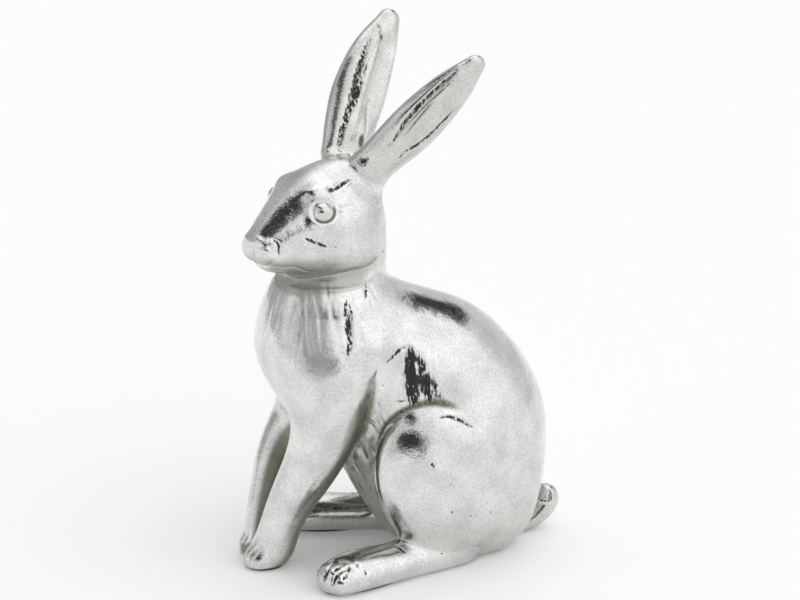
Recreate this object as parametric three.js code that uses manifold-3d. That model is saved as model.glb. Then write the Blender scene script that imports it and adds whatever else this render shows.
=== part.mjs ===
// A sitting hare ornament. The hare is cast in filled resin as nine pieces, which are pinned and
// glued together and then silver-leafed. Felt pads under the feet and the rump keep it off the shelf.
//
// Millimetres, +Z up, the rump towards +Y, the chest towards -Y and the hare's left side towards +X.
// The origin is on the shelf, under the middle of the hare.

import * as THREE from 'three';
import { mergeVertices } from 'three/addons/utils/BufferGeometryUtils.js';
import Module from 'manifold-3d';

const wasm = await Module();
wasm.setup();

// Glue between two castings, around a pin, and between a pad and the sole above it
const GLUE_GAP = 0.3;

// Felt pads, set in from the edge of each sole, and farther under the rump, which slopes up behind
const PAD_THICKNESS = 1;
const PAD_INSET = 1.5;
const RUMP_PAD_INSET = 7;
const SOLE_HEIGHT = PAD_THICKNESS + GLUE_GAP;

// Steel pins. Each stops short of the outer face of the casting that it holds.
const PIN_COVER = 4.5;
const NECK_DOWEL = { radius: 4, length: 32 };
const EAR_PIN = { radius: 1.5, length: 18 };
const SHOULDER_PIN = { radius: 2.5, length: 24, at: 0.16 };
const HIP_PIN = { radius: 3, length: 28 };
const TAIL_PIN = { radius: 1.5, length: 14, at: 0.6 };

// Torso, from the rump up to the shoulders. Each station is a line across the side view, from the
// belly or chest to the back, as [y, z] points, with half the width of the hare there and how much of
// it the section gains towards its back end and loses towards its front.
const TORSO = [
  { front: [0, 1], back: [50, 4.5], width: 25, full: 0.15 },
  { front: [-11, 13], back: [55.5, 17], width: 30.5, full: 0.28 },
  { front: [-20, 28], back: [58.5, 39], width: 33, full: 0.3 },
  { front: [-28.5, 43], back: [57, 61], width: 34, full: 0.28 },
  { front: [-39.5, 56], back: [47, 81], width: 33, full: 0.2 },
  { front: [-50, 68], back: [31, 97], width: 31.5, full: 0.1 },
  { front: [-56.4, 80], back: [14.2, 104.6], width: 29, full: 0 },
  { front: [-57.2, 94], back: [1.5, 109.7], width: 25.5, full: 0 },
  { front: [-52, 110], back: [-7, 114.5], width: 19, full: 0 },
];
const RUMP_DOME = 5;
const COLLAR_DOME = 4;

// Neck, cast with the head. Its foot is measured from the middle of the collar and its top from the
// point that the head turns about.
const NECK_FOOT = { front: [-18, -6.25], back: [24.5, -0.25], width: 16 };
const NECK_TOP = { front: [-20.5, 0.5], back: [15.5, 8.5], width: 17 };
const NECK_DOME = 4;

// Head, from the back of the skull to the nose. Each station is a line from the crown to the jaw,
// measured from the point that the head turns about.
const HEAD_PLACE = { y: -25.5, z: 121.5 };
const HEAD_TURN = 22;
const HEAD = [
  { top: [12.5, 34.5], bottom: [10.5, 5], width: 14, full: 0.2 },
  { top: [5, 39.5], bottom: [7, 0], width: 18, full: 0.28 },
  { top: [-5, 40.5], bottom: [-6, -2], width: 19.5, full: 0.22 },
  { top: [-15.5, 38], bottom: [-18, -2.5], width: 18.5, full: 0.07 },
  { top: [-24.5, 32.2], bottom: [-27, -0.5], width: 14.5 },
  { top: [-33, 24.5], bottom: [-35, 2], width: 10.5 },
  { top: [-39, 18.5], bottom: [-38.5, 6.5], width: 8 },
];
const SKULL_DOME = 2.5;
const NOSE_DOME = 2.5;
const EYE = { x: 12.5, y: -16.5, z: 27, radius: 5 };

// Ears, from the root to the tip. Each station is a line through the blade from its open side to its
// back, and the scoop hollows the open side.
const EAR_ROOT = { x: 10.3, y: 12, z: 40.5 };
const EAR_BACK_TILT = 32;
const EAR_OUT_TILT = { left: 32, right: 18 };
const EAR_TWIST = { left: 106, right: 78 };
const EAR_STRETCH = { left: 0.96, right: 1.03 };
const EAR_BOW = { left: -0.5, right: 4 };
const EAR_HEIGHT = 55;
const EAR = [
  { front: [-5, -4], back: [6, -4], width: 8.5 },
  { front: [-5, 5], back: [7, 5], width: 10 },
  { front: [-5, 15], back: [8, 15], width: 11 },
  { front: [-5, 24], back: [8, 24], width: 11.2 },
  { front: [-4.5, 36], back: [7, 36], width: 10 },
  { front: [-3.5, 46], back: [5.5, 46], width: 7.8 },
  { front: [-2.5, EAR_HEIGHT], back: [3.5, EAR_HEIGHT], width: 4.5 },
];
const EAR_DOME = 4;
const SCOOP = [
  { front: [-13, 9], back: [-3.8, 9], width: 3.5 },
  { front: [-15, 17], back: [-2.6, 17], width: 6 },
  { front: [-16, 26], back: [-2.2, 26], width: 7 },
  { front: [-14, 37], back: [-2, 37], width: 6 },
  { front: [-10, 47], back: [-1.8, 47], width: 4 },
];
const SCOOP_SHIFT = 3;
const SCOOP_DOME = 4;

// Forelegs, from the shoulder to the toes. The right leg's stations stand a step behind the left one's.
const FORELEG = [
  { x: 21, front: [-50, 92], back: [-12, 88], width: 12.5, step: 0 },
  { x: 20, front: [-50, 78], back: [-17, 72], width: 13.5, step: 0.8 },
  { x: 18, front: [-47.5, 64], back: [-22, 57], width: 12.5, step: 3.2 },
  { x: 16, front: [-49, 54], back: [-27, 45], width: 11, step: 0.8 },
  { x: 14, front: [-53, 42], back: [-34, 33], width: 9.5, step: -1.3 },
  { x: 11.5, front: [-57, 30], back: [-41, 22], width: 8, step: -0.8 },
  { x: 9.5, front: [-60, 19], back: [-45, 12], width: 7.4, step: -0.3 },
  { x: 8, front: [-62, 12.5], back: [-48.5, 2], width: 7.4, step: 0.5 },
  { x: 7.5, front: [-67, 6], back: [-60.5, -4], width: 7, step: 2 },
];
const SHOULDER_DOME = 8;
const PAW_DOME = 2;

// Hind legs. The haunch is an egg against the flank, leaning forward, and the foot runs out from
// under it. The foot's stations are lines from its top to its sole, measured from the heel.
const HAUNCH = { x: 29.5, y: 6.5, z: 39, width: 14, depth: 25.3, height: 32.5, lean: 12 };
const HEEL = { x: { left: 26, right: 16 }, y: 10.5 };
const FOOT_SPLAY = 17;
const FOOT = [
  { top: [4, 12.5], bottom: [4, -2], width: 9 },
  { top: [-25, 13.5], bottom: [-25, -2], width: 9.5 },
  { top: [-43, 14], bottom: [-43, -2], width: 10.5 },
  { top: [-51, 12], bottom: [-51, -2], width: 9.5 },
];
const HEEL_DOME = 8;
const TOE_DOME = 7;

// Tail, curled up against the rump
const TAIL = [
  { front: [44, 4.5], back: [50, -2], width: 5 },
  { front: [53, 9], back: [60, 2.5], width: 6 },
  { front: [57.5, 14.5], back: [66.5, 9.5], width: 5.5 },
  { front: [59.5, 17.5], back: [66, 15.5], width: 4 },
];
const TAIL_DOME = 1.5;

const GROUND = { size: 400, depth: 100 };
const PIN_SIDES = 20;
const PAD_SIDES = 32;

const ACROSS = new THREE.Vector3(1, 0, 0);
const UP = new THREE.Vector3(0, 0, 1);

const turn = THREE.MathUtils.degToRad;

// A form made of oval sections carried along two outlines, with a rounded dome at each end. Each
// section runs from a point of the front outline to a point of the back outline and has its width
// across the hare, which may be fuller towards the back end.
class Loft {
  constructor(stations, { startDome, endDome, rings = 3, sides = 24, domeRings = 3 }) {
    const curve = (points) => new THREE.CatmullRomCurve3(points, false, 'catmullrom', 0.5);
    const point = (s, [y, z]) => new THREE.Vector3(s.x ?? 0, y, z);
    this.front = curve(stations.map((s) => point(s, s.front ?? s.top)));
    this.back = curve(stations.map((s) => point(s, s.back ?? s.bottom)));
    this.width = curve(stations.map((s) => new THREE.Vector3(s.width, s.full ?? 0, 0)));
    this.domes = [startDome, endDome];
    this.steps = (stations.length - 1) * rings;
    this.sides = sides;
    this.domeRings = domeRings;
  }

  // The section a share t of the way along: its centre, half sizes and directions
  section(t) {
    const front = this.front.getPoint(t);
    const back = this.back.getPoint(t);
    const face = back.clone().sub(front);
    const depth = face.length() / 2;
    face.normalize();
    const along = new THREE.Vector3().crossVectors(ACROSS, face).normalize();
    const travel = this.front.getTangent(t).add(this.back.getTangent(t));
    if (along.dot(travel) < 0) along.negate();
    const side = new THREE.Vector3().crossVectors(face, along);
    const centre = front.add(back).multiplyScalar(0.5);
    const { x: width, y: full } = this.width.getPoint(t);
    return { centre, depth, width, full, face, along, side };
  }

  // One ring of points per section, with the domes' rings shrinking along a quarter circle
  geometry(grow = 0) {
    const rings = [];
    const addRing = (t, dome, angle) => {
      const s = this.section(t);
      const scale = Math.cos(angle);
      s.centre.addScaledVector(s.along, dome * Math.sin(angle));
      const ring = [];
      for (let j = 0; j < this.sides; j++) {
        const around = (2 * Math.PI * j) / this.sides;
        const point = s.centre.clone();
        const width = s.width * (1 + s.full * Math.sin(around)) + grow;
        point.addScaledVector(s.side, width * scale * Math.cos(around));
        ring.push(point.addScaledVector(s.face, (s.depth + grow) * scale * Math.sin(around)));
      }
      rings.push(ring);
    };
    const quarter = Math.PI / 2 / this.domeRings;
    const [startDome, endDome] = this.domes.map((dome) => dome + grow);
    for (let i = this.domeRings - 1; i > 0; i--) addRing(0, -startDome, i * quarter);
    for (let i = 0; i <= this.steps; i++) addRing(i / this.steps, 0, 0);
    for (let i = 1; i < this.domeRings; i++) addRing(1, endDome, i * quarter);

    const first = this.section(0);
    const last = this.section(1);
    const points = [
      first.centre.addScaledVector(first.along, -startDome),
      ...rings.flat(),
      last.centre.addScaledVector(last.along, endDome),
    ];
    const faces = [];
    const at = (i, j) => 1 + i * this.sides + (j % this.sides);
    const top = rings.length - 1;
    for (let j = 0; j < this.sides; j++) {
      faces.push(0, at(0, j + 1), at(0, j), points.length - 1, at(top, j), at(top, j + 1));
      for (let i = 0; i < top; i++) {
        faces.push(at(i, j), at(i, j + 1), at(i + 1, j), at(i + 1, j), at(i, j + 1), at(i + 1, j + 1));
      }
    }
    const geometry = new THREE.BufferGeometry().setFromPoints(points);
    geometry.setIndex(faces);
    return geometry;
  }
}

// A station measured from a place, as one measured from the origin
function moved({ front, back, width }, { y, z }) {
  return { front: [front[0] + y, front[1] + z], back: [back[0] + y, back[1] + z], width };
}

// An ear's station, stretched along the blade and bowed sideways by the cube of its height
function earStation({ front, back, width }, side, shift = 0) {
  const stretch = EAR_STRETCH[side];
  const x = shift + EAR_BOW[side] * (front[1] / EAR_HEIGHT) ** 3;
  return { x, front: [front[0], front[1] * stretch], back: [back[0], back[1] * stretch], width };
}

function solidOf(geometry) {
  const bare = geometry.clone();
  bare.deleteAttribute('normal');
  bare.deleteAttribute('uv');
  const merged = mergeVertices(bare, 1e-4);
  const vertProperties = merged.attributes.position.array;
  const triVerts = new Uint32Array(merged.index.array);
  return new wasm.Manifold(new wasm.Mesh({ numProp: 3, vertProperties, triVerts }));
}

function geometryOf(solid) {
  const { vertProperties, triVerts } = solid.getMesh();
  const geometry = new THREE.BufferGeometry();
  geometry.setAttribute('position', new THREE.BufferAttribute(vertProperties, 3));
  geometry.setIndex(new THREE.BufferAttribute(triVerts, 1));
  geometry.computeVertexNormals();
  return geometry;
}

// A round bar from one point to another
function bar(from, to, radius) {
  const geometry = new THREE.CylinderGeometry(radius, radius, from.distanceTo(to), PIN_SIDES);
  const direction = to.clone().sub(from).normalize();
  const tilt = new THREE.Quaternion().setFromUnitVectors(new THREE.Vector3(0, 1, 0), direction);
  geometry.applyQuaternion(tilt);
  const middle = from.clone().add(to).multiplyScalar(0.5);
  geometry.translate(middle.x, middle.y, middle.z);
  return solidOf(geometry);
}

// A pin that ends at a point inside one casting and runs back along a direction into another, with
// the hole that both castings have for it
function pinFrom(end, direction, { radius, length }) {
  const start = end.clone().addScaledVector(direction, -length);
  const holeStart = start.clone().addScaledVector(direction, -GLUE_GAP);
  const holeEnd = end.clone().addScaledVector(direction, GLUE_GAP);
  return { solid: bar(start, end, radius), hole: bar(holeStart, holeEnd, radius + GLUE_GAP) };
}

// An oval pad under the flat sole of a casting, set in from its edge. The casting is turned about the
// upright by the given angle.
function padUnder(solid, inset, angle = 0) {
  const unturn = new THREE.Matrix4().makeRotationZ(-angle);
  const { vertProperties } = solid.getMesh();
  const sole = new THREE.Box3();
  for (let i = 0; i < vertProperties.length; i += 3) {
    const point = new THREE.Vector3().fromArray(vertProperties, i);
    if (point.z < SOLE_HEIGHT + 0.01) sole.expandByPoint(point.applyMatrix4(unturn));
  }
  const half = sole.getSize(new THREE.Vector3()).multiplyScalar(0.5).subScalar(inset);
  const middle = sole.getCenter(new THREE.Vector3());
  const pad = new THREE.CylinderGeometry(1, 1, PAD_THICKNESS, PAD_SIDES);
  pad.rotateX(Math.PI / 2);
  pad.scale(half.x, half.y, 1);
  pad.translate(middle.x, middle.y, PAD_THICKNESS / 2);
  pad.rotateZ(angle);
  return solidOf(pad);
}

const silver = new THREE.MeshStandardMaterial({ color: 0xd2d6d4, roughness: 0.25, metalness: 1 });
const steel = new THREE.MeshStandardMaterial({ color: 0x8f9498, roughness: 0.4, metalness: 1 });
const felt = new THREE.MeshStandardMaterial({ color: 0x2e2a27, roughness: 1, metalness: 0 });

const hare = new THREE.Group();
hare.name = 'hare';

function addPiece(name, solid, material) {
  const mesh = new THREE.Mesh(geometryOf(solid), material);
  mesh.name = name;
  hare.add(mesh);
}

// Everything below the soles
const below = new THREE.BoxGeometry(GROUND.size, GROUND.size, GROUND.depth);
below.translate(0, 0, SOLE_HEIGHT - GROUND.depth / 2);
const belowSole = solidOf(below);

// Torso
const torsoLoft = new Loft(TORSO, { startDome: RUMP_DOME, endDome: COLLAR_DOME, sides: 28 });
const torsoGrown = solidOf(torsoLoft.geometry(GLUE_GAP));
let torso = solidOf(torsoLoft.geometry()).subtract(belowSole);

// Head with its neck
const headPlace = new THREE.Matrix4().makeRotationZ(turn(HEAD_TURN));
headPlace.setPosition(0, HEAD_PLACE.y, HEAD_PLACE.z);
const headLoft = new Loft(HEAD, { startDome: SKULL_DOME, endDome: NOSE_DOME });
const collar = torsoLoft.section(1).centre;
const neckLoft = new Loft(
  [moved(NECK_FOOT, collar), moved(NECK_TOP, HEAD_PLACE)],
  { startDome: NECK_DOME, endDome: NECK_DOME },
);
const headGrown = solidOf(headLoft.geometry(GLUE_GAP)).transform(headPlace.elements);
let skull = solidOf(headLoft.geometry());
for (const way of [1, -1]) {
  const eye = new THREE.SphereGeometry(EYE.radius, 16, 12);
  eye.translate(way * EYE.x, EYE.y, EYE.z);
  skull = skull.add(solidOf(eye));
}
let head = skull.transform(headPlace.elements).add(solidOf(neckLoft.geometry())).subtract(torsoGrown);

const neckDowel = pinFrom(collar.clone().addScaledVector(UP, NECK_DOWEL.length / 2), UP, NECK_DOWEL);
head = head.subtract(neckDowel.hole);
torso = torso.subtract(neckDowel.hole);
addPiece('neck_dowel', neckDowel.solid, steel);

for (const [side, way] of [['left', 1], ['right', -1]]) {
  const outward = new THREE.Vector3(way, 0, 0);

  // Ear
  const lean = new THREE.Euler(
    -turn(EAR_BACK_TILT), way * turn(EAR_OUT_TILT[side]), -way * turn(EAR_TWIST[side]), 'YXZ',
  );
  const earPlace = new THREE.Matrix4().makeRotationFromEuler(lean);
  earPlace.setPosition(way * EAR_ROOT.x, EAR_ROOT.y, EAR_ROOT.z);
  earPlace.premultiply(headPlace);
  const blade = EAR.map((s) => earStation(s, side));
  const bladeLoft = new Loft(blade, { startDome: EAR_DOME, endDome: EAR_DOME, sides: 20 });
  const scoop = SCOOP.map((s) => earStation(s, side, -way * SCOOP_SHIFT));
  const scoopLoft = new Loft(scoop, { startDome: SCOOP_DOME, endDome: SCOOP_DOME, sides: 20 });
  const cup = solidOf(bladeLoft.geometry()).subtract(solidOf(scoopLoft.geometry()));
  const earAxis = UP.clone().transformDirection(earPlace);
  const earPinEnd = new THREE.Vector3(0, 0, EAR_PIN.length / 2).applyMatrix4(earPlace);
  const earPin = pinFrom(earPinEnd, earAxis, EAR_PIN);
  const ear = cup.transform(earPlace.elements).subtract(headGrown).subtract(earPin.hole);
  head = head.subtract(earPin.hole);
  addPiece(side + '_ear', ear, silver);
  addPiece(side + '_ear_pin', earPin.solid, steel);

  // Foreleg
  const legLoft = new Loft(FORELEG.map((s) => {
    const step = way < 0 ? s.step : 0;
    return {
      x: way * s.x,
      width: s.width,
      front: [s.front[0] + step, s.front[1]],
      back: [s.back[0] + step, s.back[1]],
    };
  }), { startDome: SHOULDER_DOME, endDome: PAW_DOME, sides: 16 });
  const shoulder = legLoft.section(SHOULDER_PIN.at);
  shoulder.centre.addScaledVector(outward, shoulder.width - PIN_COVER);
  const shoulderPin = pinFrom(shoulder.centre, outward, SHOULDER_PIN);
  const leg = solidOf(legLoft.geometry()).subtract(torsoGrown).subtract(belowSole);
  const foreleg = leg.subtract(shoulderPin.hole);
  torso = torso.subtract(shoulderPin.hole);
  addPiece(side + '_foreleg', foreleg, silver);
  addPiece(side + '_shoulder_pin', shoulderPin.solid, steel);
  addPiece(side + '_forepaw_pad', padUnder(foreleg, PAD_INSET), felt);

  // Hind leg
  const haunch = new THREE.SphereGeometry(1, 24, 16);
  haunch.scale(HAUNCH.width, HAUNCH.depth, HAUNCH.height);
  haunch.rotateX(turn(HAUNCH.lean));
  haunch.translate(way * HAUNCH.x, HAUNCH.y, HAUNCH.z);
  const splay = way * turn(FOOT_SPLAY);
  const footPlace = new THREE.Matrix4().makeRotationZ(splay).setPosition(way * HEEL.x[side], HEEL.y, 0);
  const footLoft = new Loft(FOOT, { startDome: HEEL_DOME, endDome: TOE_DOME, sides: 16 });
  const foot = solidOf(footLoft.geometry()).transform(footPlace.elements);
  const hipPinEnd = new THREE.Vector3(way * (HAUNCH.x + HAUNCH.width - PIN_COVER), HAUNCH.y, HAUNCH.z);
  const hipPin = pinFrom(hipPinEnd, outward, HIP_PIN);
  const hindLeg = solidOf(haunch).add(foot).subtract(torsoGrown).subtract(belowSole).subtract(hipPin.hole);
  torso = torso.subtract(hipPin.hole);
  addPiece(side + '_hind_leg', hindLeg, silver);
  addPiece(side + '_hip_pin', hipPin.solid, steel);

  // The hind pad is under the front of the foot, clear of the rump
  const forefootLoft = new Loft(FOOT.slice(1), { startDome: TOE_DOME, endDome: TOE_DOME, sides: 16 });
  const forefoot = solidOf(forefootLoft.geometry()).transform(footPlace.elements).subtract(belowSole);
  addPiece(side + '_hind_pad', padUnder(forefoot, PAD_INSET, splay), felt);
}

// Tail
const tailLoft = new Loft(TAIL, { startDome: TAIL_DOME, endDome: TAIL_DOME, sides: 16 });
const rearward = new THREE.Vector3(0, 1, 0);
const tailPin = pinFrom(tailLoft.section(TAIL_PIN.at).centre, rearward, TAIL_PIN);
const tail = solidOf(tailLoft.geometry()).subtract(torsoGrown).subtract(belowSole).subtract(tailPin.hole);
torso = torso.subtract(tailPin.hole);
addPiece('tail', tail, silver);
addPiece('tail_pin', tailPin.solid, steel);

addPiece('torso', torso, silver);
addPiece('head', head, silver);
addPiece('rump_pad', padUnder(torso, RUMP_PAD_INSET), felt);

// The origin goes to the shelf, under the middle of the hare
const middle = new THREE.Box3().setFromObject(hare, true).getCenter(new THREE.Vector3());
hare.position.set(-middle.x, -middle.y, 0);

export default hare;
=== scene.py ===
"""A sitting hare ornament, cast in resin in pieces, pinned together and silver-leafed over brown bole.

Each casting is a surface on a grid of two parameters, worked out in millimetres with numpy. Where two
castings meet, both swell to one shared fillet, so that the leaf runs over the joint. Carving is then
raised or cut along the surface's normals.
"""

import bpy
import numpy as np
from mathutils import Matrix, Vector


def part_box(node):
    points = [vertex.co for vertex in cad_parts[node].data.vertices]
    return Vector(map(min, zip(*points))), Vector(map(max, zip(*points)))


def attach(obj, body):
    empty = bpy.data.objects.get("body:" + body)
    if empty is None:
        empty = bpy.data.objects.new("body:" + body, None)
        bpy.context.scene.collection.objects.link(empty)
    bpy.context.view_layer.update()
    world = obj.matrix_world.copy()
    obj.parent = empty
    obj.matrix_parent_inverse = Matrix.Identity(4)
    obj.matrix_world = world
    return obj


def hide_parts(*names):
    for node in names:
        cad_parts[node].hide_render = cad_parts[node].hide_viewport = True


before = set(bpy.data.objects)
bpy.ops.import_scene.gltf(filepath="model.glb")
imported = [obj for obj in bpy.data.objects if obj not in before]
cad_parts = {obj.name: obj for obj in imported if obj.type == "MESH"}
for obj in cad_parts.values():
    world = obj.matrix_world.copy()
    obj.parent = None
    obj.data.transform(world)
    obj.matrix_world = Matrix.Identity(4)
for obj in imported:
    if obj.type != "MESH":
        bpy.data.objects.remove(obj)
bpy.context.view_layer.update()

MM = 0.001

# The castings' stations, close to those of the part's source. Each row is a line across the side view, given
# by the y and z of its front end and of its back end, and half the width there. Fullness is how much of the
# width a section gains towards its back end and loses towards its front. The torso's last three rows are the
# neck, and its rear is how far back the source's torso reaches.
TORSO = [
    (0, 1, 50, 4.5, 25),
    (-11, 13, 55.5, 17, 30.5),
    (-20, 28, 58.5, 39, 33),
    (-28.5, 43, 57, 61, 34),
    (-39.5, 56, 47, 81, 33),
    (-50, 68, 31, 97, 31.5),
    (-56.4, 80, 14.2, 104.6, 29),
    (-57.2, 94, 1.5, 109.7, 25.5),
    (-52, 110, -6, 115, 19),
    (-46.8, 116.5, -7, 122, 16.3),
    (-46, 123, -10, 130.5, 16.8),
    (-42, 133, -16.5, 142, 13.5),
]
TORSO_FULLNESS = (0.15, 0.28, 0.3, 0.28, 0.2, 0.1, 0, 0, 0, 0, 0, 0)
TORSO_DOMES = (5, 4)
TORSO_REAR = 58.64

# The head's rows run from the crown to the jaw, measured from the point that it turns about
HEAD_PLACE = (0, -25.5, 121.5)
HEAD_TURN = 22
HEAD = [
    (8.8, 37.6, 9, 2.4, 16.4),
    (2, 40, 3, -0.8, 18.5),
    (-5, 40.5, -6, -2, 19.5),
    (-15.5, 38, -18, -2.5, 18.5),
    (-24.5, 32.2, -27, -0.5, 14.5),
    (-33, 24.5, -35, 2, 10.5),
    (-40, 17.6, -36.8, 5.2, 8.4),
]
HEAD_FULLNESS = (0.2, 0.28, 0.22, 0.07, 0, 0, 0)
HEAD_DOMES = (6, 3.2)

# The ears' rows run through the blade from its open side to its back, measured from the root. The first one
# is sunk into the head.
EAR_ROOT = (10.3, 12, 40.5)
EAR_BACK_TILT = 32
EAR_OUT_TILT = {"left": 32, "right": 18}
EAR_TWIST = {"left": 106, "right": 78}
EAR_STRETCH = {"left": 0.96, "right": 1.03}
EAR_BOW = {"left": -0.5, "right": 4}
EAR_HEIGHT = 55
EAR_SUNK = 4
EAR = [
    (-5, -EAR_SUNK, 6, -EAR_SUNK, 8.5),
    (-5, 5, 7, 5, 10),
    (-5, 15, 8, 15, 11),
    (-5, 24, 8, 24, 11.2),
    (-4.5, 36, 7, 36, 10),
    (-3.5, 46, 5.5, 46, 7.8),
    (-2.5, EAR_HEIGHT, 3.5, EAR_HEIGHT, 4.5),
]
EAR_DOMES = (4, 4)

# A foreleg's rows begin with the distance from the hare's middle. The steps are how far each row of the right
# leg lies behind the left one's.
FORELEG = [
    (11, -44, 106, -17, 104, 9),
    (17, -48, 92, -13, 89, 13),
    (20, -50, 77, -17, 72, 13.5),
    (18, -47.5, 64, -22, 57, 12.5),
    (16, -49, 54, -27, 45, 11),
    (14, -53, 42, -34, 33, 9.5),
    (11.5, -57, 30, -41, 22, 8),
    (9.5, -60, 19, -45, 12, 7.4),
    (8, -62, 12.5, -48.5, 2, 7.4),
    (7.5, -64, 8, -58.5, -4, 7),
]
RIGHT_LEG_STEPS = (0, 0, 0.8, 3.2, 0.8, -1.3, -0.8, -0.3, 0.5, 2)
FORELEG_DOMES = (8, 5)

HAUNCH_CENTRE = (29.5, 6.5, 39)
HAUNCH_HALF = (14, 25.3, 32.5)
HAUNCH_LEAN = 12

# A hind foot's rows run from its top to its sole, measured from the heel
HEEL = {"left": (26, 10.5, 0), "right": (16, 10.5, 0)}
FOOT_SPLAY = 17
FOOT = [
    (4, 12.5, 4, -2, 9),
    (-25, 13.5, -25, -2, 9.5),
    (-43, 14, -43, -2, 10.5),
    (-51, 12, -51, -2, 9.5),
]
FOOT_DOMES = (8, 7)

TAIL = [
    (44, 4.5, 50, -2, 5),
    (53, 9, 60, 2.5, 6),
    (57.5, 14.5, 66.5, 9.5, 5.5),
    (59.5, 17.5, 66, 15.5, 4),
]
TAIL_DOMES = (1.5, 1.5)

# Soles are flat at the height of the glued felt pads
SOLE_HEIGHT = 1.3

# Rows and sides of each casting's grid. A dome's rows take up a span of so many times its height and some
# more, and the whole loft's rings are averaged with their neighbours so often, which rounds the domes' edges.
GRIDS = {"torso": (320, 300), "head": (300, 300), "ear": (240, 160), "foreleg": (240, 150),
         "haunch": (200, 280), "foot": (240, 150), "tail": (110, 100)}
DOME_SPAN = (1.6, 4)
FEWEST_ROWS = 6
ROUNDING = 40
LENGTH_SAMPLES = 50

# A point's section in a loft: the first tries along it, how far past a section's ends still counts as beside
# it, the rounds of Newton's rule from a try and from a known share, and the longest step
SECTION_TRIES = 25
SECTION_REACH = 1.2
FIRST_ROUNDS = 5
NEXT_ROUNDS = 2
SHARE_STEP = 0.05
END_SHARE = 0.001

# Smaller slopes, steps and lengths count as these
TINY = 1e-6
NO_LENGTH = 1e-9

# Fillets between neighbours. The neck's widens from the throat to the nape, a foreleg's from its rear edge to
# the shoulder, and the haunch's towards the rump, by the angle about its middle.
NECK_FILLET = {"throat": 9, "nape": 16, "turn": (-27, -11)}
FORELEG_FILLET = {"rear": 3.5, "shoulder": 24, "edge": (-14, -3), "top": (80, 94)}
HAUNCH_FILLET = {"tight": 2.6, "wide": 20, "towards": -10, "reach": 100, "fade": 45}
EAR_FILLET = 14
TAIL_FILLET = 4
RUMP_TO_FOOT_FILLET = 12
HAUNCH_TO_FOOT_FILLET = 9

# A fillet is looked for no farther than this from a neighbour's box, which a coarse grid gives. It is found
# in so many rounds of the secant rule with a longest step. Past the seam the grid sinks between two depths.
FAR = 36.0
BOX_GRID = (40, 24)
SECANT_ROUNDS = 6
LONGEST_STEP = 1.5
OVERLAP = (-5, -1.5)

# Creases of fillets under this radius keep bole, and black wax at their core
CREASE_RADIUS = 9
CREASE_WIDTH = 1.9
GROOVE_BOLE = 0.9
GROOVE_WAX = 2.2
GROOVE_CORE = 4

# How strong the olive patina with its painted shade is: in full under the belly, at the light level as
# painted shade under the chin and on the throat, and at a faint level on the ears, across a foot and towards
# the floor.
# Then where each begins or ends: up the belly, towards the rump, up from the floor, up a foreleg, towards its
# rear and its shin in shares of its half depth, across it, across a foot, by how far the head's surface faces
# down, along the torso's length and towards the nape
PATINA_AND_SHADE = {"full": 0.5, "light": 0.6, "faint": 0.18,
          "belly": (44, 74), "rump": (0, 16), "floorward": (6, 36), "shoulder": (62, 80), "rear": (0.2, 0.65),
          "shin": (0.6, 0.8), "inner": (-2.5, 1), "foot": (-5, 2), "chin": (0.2, 0.6), "throat": (0.74, 0.77),
          "nape": (-24, -12)}

# The brushed zone of the chest's left side, mirrored to the right
BRUSHED_PATH = [(11, -42, 119), (18.4, -40.4, 109.5), (26, -42, 100), (31, -42, 88), (34, -41, 70)]
BRUSHED_WIDTH = 8

# The eye, on the left of the head: its middle, the way it looks, and its front and rear corners
EYE = (15.3, -18.3, 26)
EYE_LOOK = (0.78, -0.44, 0.45)
EYE_CORNERS = ((13.2, -23.1, 24.5), (17.6, -14, 25.4))
EYE_LONG = 4
EYE_TALL = 3.8
EYE_BULGE = 2.4
EYE_REACH = (4, 7)

# Rings about the eye: place and width in shares of its oval, and height. Bole shows in the groove, and more
# of it towards the low rear, which is measured down a slant.
EYE_GROOVE = (1.08, 0.16, -0.3)
EYE_LID = (1.45, 0.35, 0.25)
EYE_BOLE = (0.2, 0.6)
EYE_SLANT = 0.4
EYE_LOW = (-1, 2.5)

# A carved line's path is sampled so often and may lie so far above or below the surface. The line ends at a
# share of its width, and its bell curve is cut off at some widths.
PATH_SAMPLES = 60
LINE_REACH = 3.5
LINE_TAPER = 0.3
BELL_REACH = 2.5
OUT_OF_REACH = 99

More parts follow.
